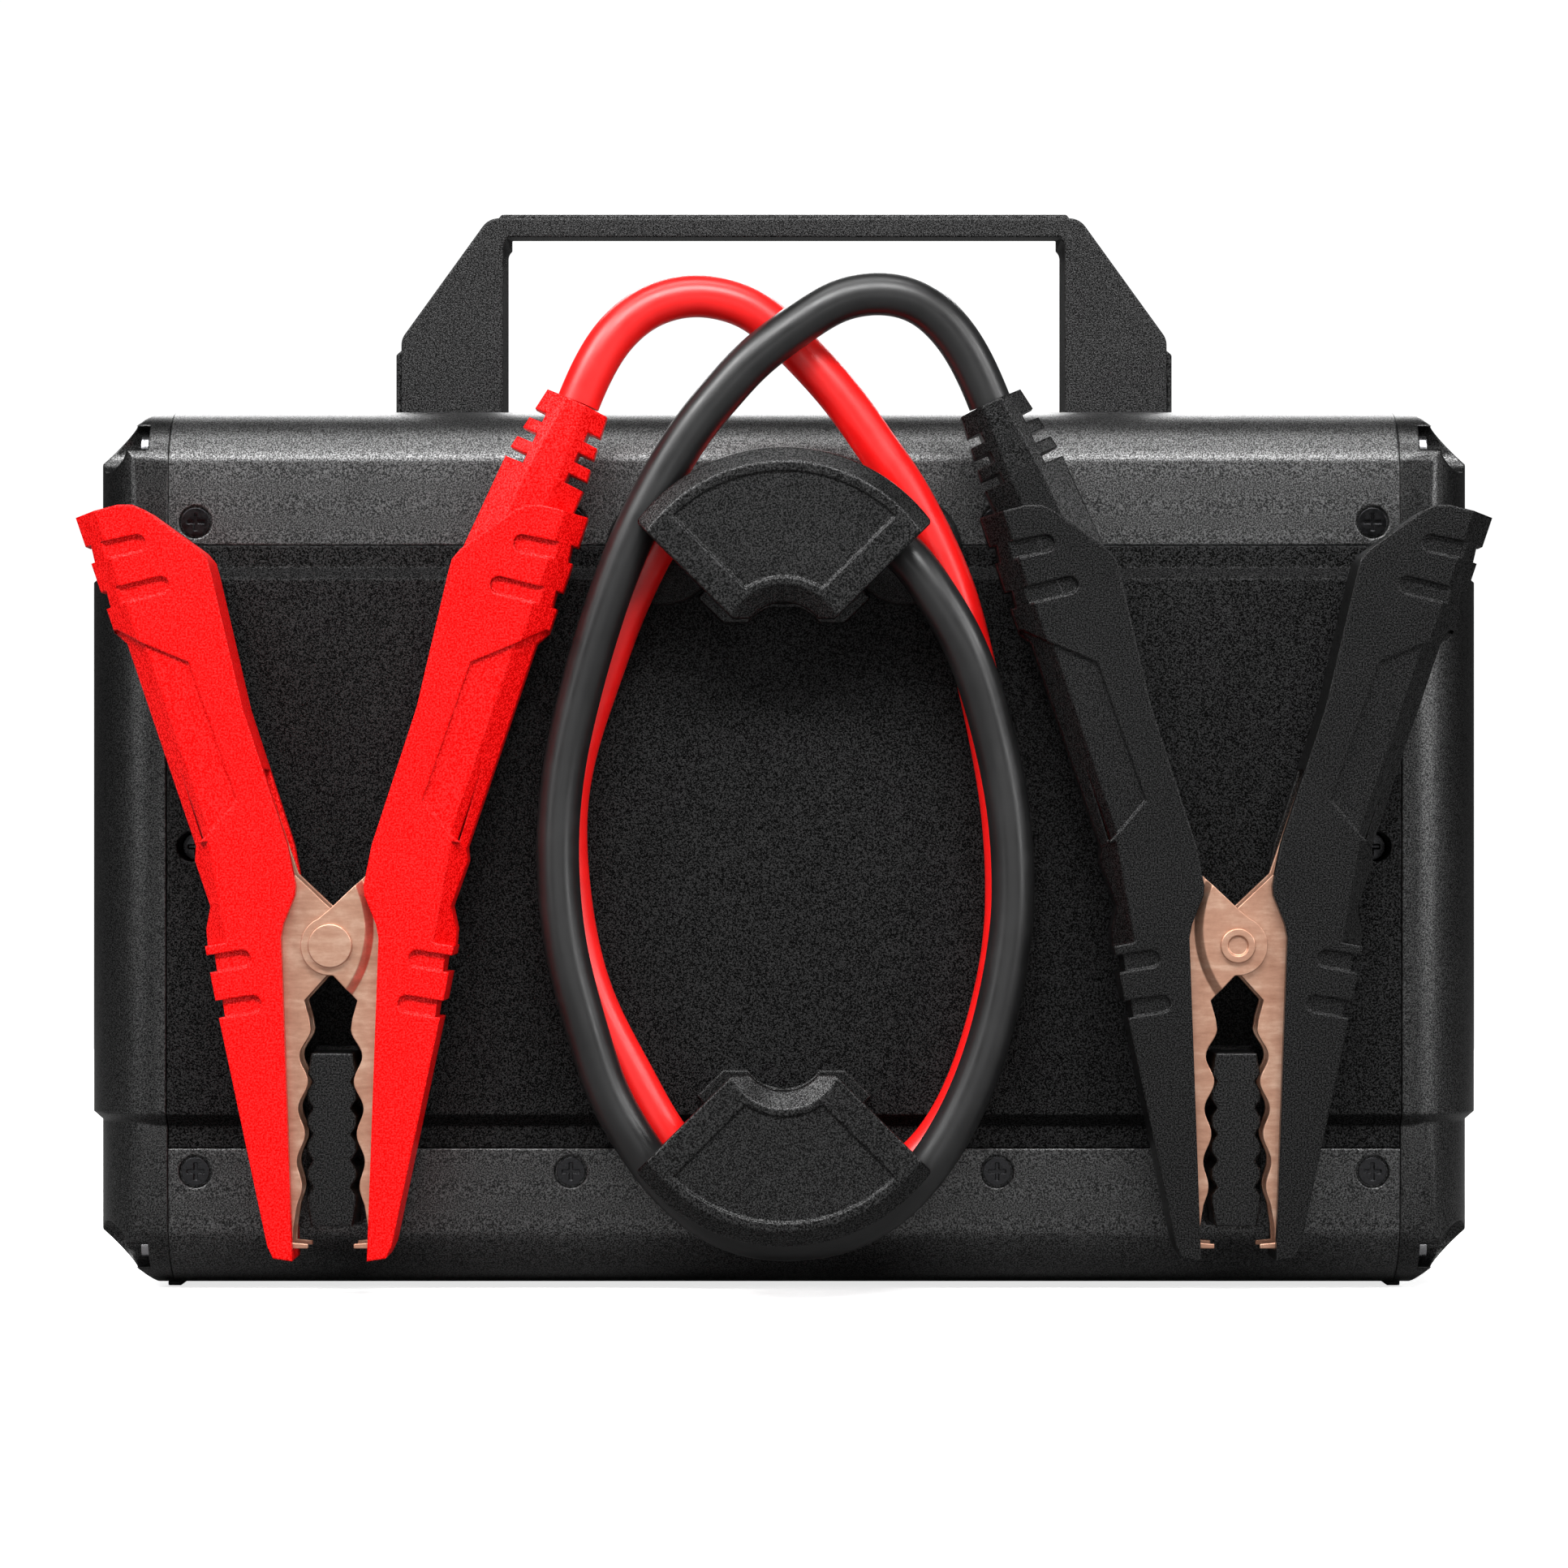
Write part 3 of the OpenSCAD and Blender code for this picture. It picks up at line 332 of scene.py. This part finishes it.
BLACK_ROUTE = [
    [50, 17, 218], [46, 18, 228], [40, 19.5, 237], [32, 21, 243], [23, 22, 244.5],
    [14, 22.5, 243], [7, 23, 239], [-7, 23, 229], [-14, 22.5, 221], [-21, 22, 213],
    [-27, 21.5, 204], [-32.5, 21, 194], [-36, 21, 187], [-41.5, 20, 174],
    [-46, 19, 160], [-49.5, 17.5, 148], [-54, 16.5, 129], [-55.5, 16.5, 109],
    [-54, 16.5, 90], [-51.5, 16.5, 78], [-47.5, 16, 64], [-43.5, 15, 51], [-38, 14.5, 41],
    [-30, 14, 29], [-19, 13, 19], [-8, 11.5, 14.5], [4, 13, 14], [19, 15.5, 17],
    [34, 16.5, 29], [46, 16.5, 50], [52, 16.5, 70], [55, 16.5, 87], [56, 16.5, 99],
    [55, 16.5, 119], [51, 17, 138], [45, 20.5, 158], [37, 20.5, 171], [31, 20, 180],
    [24, 18, 186], [13, 13.5, 188.5], [1, 8.5, 190], [-10, 5.5, 188.5], [-20, 2.5, 184]]
CABLE_D = 0.0105


def make_cable(name, route, kind):
    curve = bpy.data.curves.new(name, "CURVE")
    curve.dimensions = "3D"
    curve.bevel_depth = CABLE_D / 2
    curve.bevel_resolution = 8
    curve.resolution_u = 10
    curve.use_fill_caps = True
    spline = curve.splines.new("NURBS")
    points = [Vector((x / 1000, REAR_Y - h / 1000, z / 1000)) for x, h, z in reversed(route)]
    spline.points.add(len(points) - 1)
    for knot, at in zip(spline.points, points):
        knot.co = (*at, 1)
    spline.order_u = 4
    spline.use_endpoint_u = True
    cable = bpy.data.objects.new(name, curve)
    scene.collection.objects.link(cable)
    curve.materials.append(MATERIALS[kind])
    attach(cable, "root")
    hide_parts(name.replace("_lead", "_cable"))
    return cable


make_cable("red_lead", RED_ROUTE, "red_jacket")
make_cable("black_lead", BLACK_ROUTE, "black_jacket")


# --- Floor and light ---

def area(name, at, width, height, power):
    """White rectangular light, aimed at the middle of the case."""
    light = bpy.data.lights.new(name, "AREA")
    light.shape = "RECTANGLE"
    light.size, light.size_y = width, height
    light.energy = power
    lamp = bpy.data.objects.new(name, light)
    scene.collection.objects.link(lamp)
    lamp.location = at
    lamp.rotation_euler = (Vector(CENTRE) - Vector(at)).to_track_quat("-Z", "Y").to_euler()
    return lamp


def camera_mix(tree, plain, seen, output):
    """The camera sees one shader, and everything else is lit by the other."""
    rays = tree.nodes.new("ShaderNodeLightPath")
    mix = tree.nodes.new("ShaderNodeMixShader")
    tree.links.new(rays.outputs["Is Camera Ray"], mix.inputs["Fac"])
    tree.links.new(plain, mix.inputs[1])
    tree.links.new(seen, mix.inputs[2])
    tree.links.new(mix.outputs[0], output)


def make_floor():
    """Pale floor, bright to the camera, that throws little light back up at the pack."""
    corners = [(-1.6, -1.6), (1.6, -1.6), (1.6, 1.4), (-1.6, 1.4)]
    mesh = bpy.data.meshes.new("floor")
    mesh.from_pydata([(x, y, FEET) for x, y in corners], [], [(0, 1, 2, 3)])
    floor = bpy.data.objects.new("floor", mesh)
    scene.collection.objects.link(floor)
    material, tree, shader = new_material("floor")
    clouded(tree, shader, noise(tree, 3, 2.0), (0.9, 0.9, 0.9), (0.94, 0.94, 0.94))
    shader.inputs["Roughness"].default_value = 0.9
    shader.inputs["Specular IOR Level"].default_value = 0.0
    shader.inputs["Emission Color"].default_value = (1, 1, 1, 1)
    shader.inputs["Emission Strength"].default_value = 0.75
    bounce = add(tree, "ShaderNodeBsdfDiffuse", Color=(0.16, 0.16, 0.16, 1))
    camera_mix(tree, bounce.outputs[0], shader.outputs[0], tree.nodes["Material Output"].inputs["Surface"])
    mesh.materials.append(material)


def make_world():
    """White to the camera, and a dim even fill for everything else."""
    world = bpy.data.worlds.new("studio")
    scene.world = world
    world.use_nodes = True
    tree = world.node_tree
    fill = tree.nodes["Background"]
    fill.inputs["Color"].default_value = (1, 1, 1, 1)
    fill.inputs["Strength"].default_value = 0.05
    seen = add(tree, "ShaderNodeBackground", Color=(1, 1, 1, 1), Strength=1.05)
    camera_mix(tree, fill.outputs[0], seen.outputs[0], tree.nodes["World Output"].inputs["Surface"])


make_floor()
make_world()
area("key", (0, -1.42, 1.36), 1.6, 0.42, 47)
area("top", (0, -0.45, 1.75), 1.4, 0.3, 12)
area("upper_left", (-1.1, -0.9, 1.25), 0.6, 0.5, 20)
area("low", (0, -1.3, 0.06), 1.2, 0.1, 1.2)
area("back", (0, 1.6, 1.2), 1.6, 0.8, 30)
for side, high, wide in ((-1, 2, 3), (1, 8, 8)):
    area("side", (side * 1.55, -0.62, 0.85), 0.4, 0.5, high)
    area("strip", (side * 1.35, -1.25, 0.55), 0.25, 0.9, wide)
